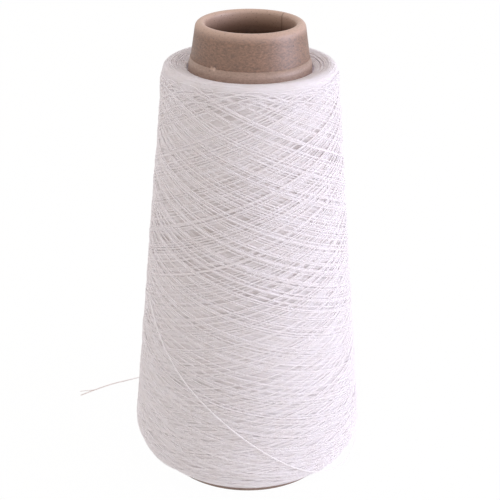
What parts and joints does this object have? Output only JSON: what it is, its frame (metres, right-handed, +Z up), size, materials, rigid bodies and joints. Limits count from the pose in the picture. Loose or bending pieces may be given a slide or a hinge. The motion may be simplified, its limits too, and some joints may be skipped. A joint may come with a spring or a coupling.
{
  "type": "waxed thread spool",
  "caption": "Tall cone of white waxed thread, wound crosswise on a brown paper cone with a rounded nose, its outer end hanging loose at the side.",
  "frame": {"origin": "middle of the paper cone's foot rim, on the surface that it stands on", "axes": "+Z up along the cone's axis, -Y towards the viewer of the picture, +X to that viewer's right"},
  "size_m": [0.1111, 0.0877, 0.1692],
  "materials": {
    "cover_paper": "matte",
    "chipboard": "matte",
    "liner_paper": "matte",
    "thread": "satin"
  },
  "bodies": {
    "root": {"cone_cover_ply": "cover_paper", "cone_board_plies": "chipboard", "cone_liner_ply": "liner_paper", "winding_core": "thread", "outer_winding": "thread", "loose_end": "thread", "split_ply": "thread"}
  },
  "joints": []
}
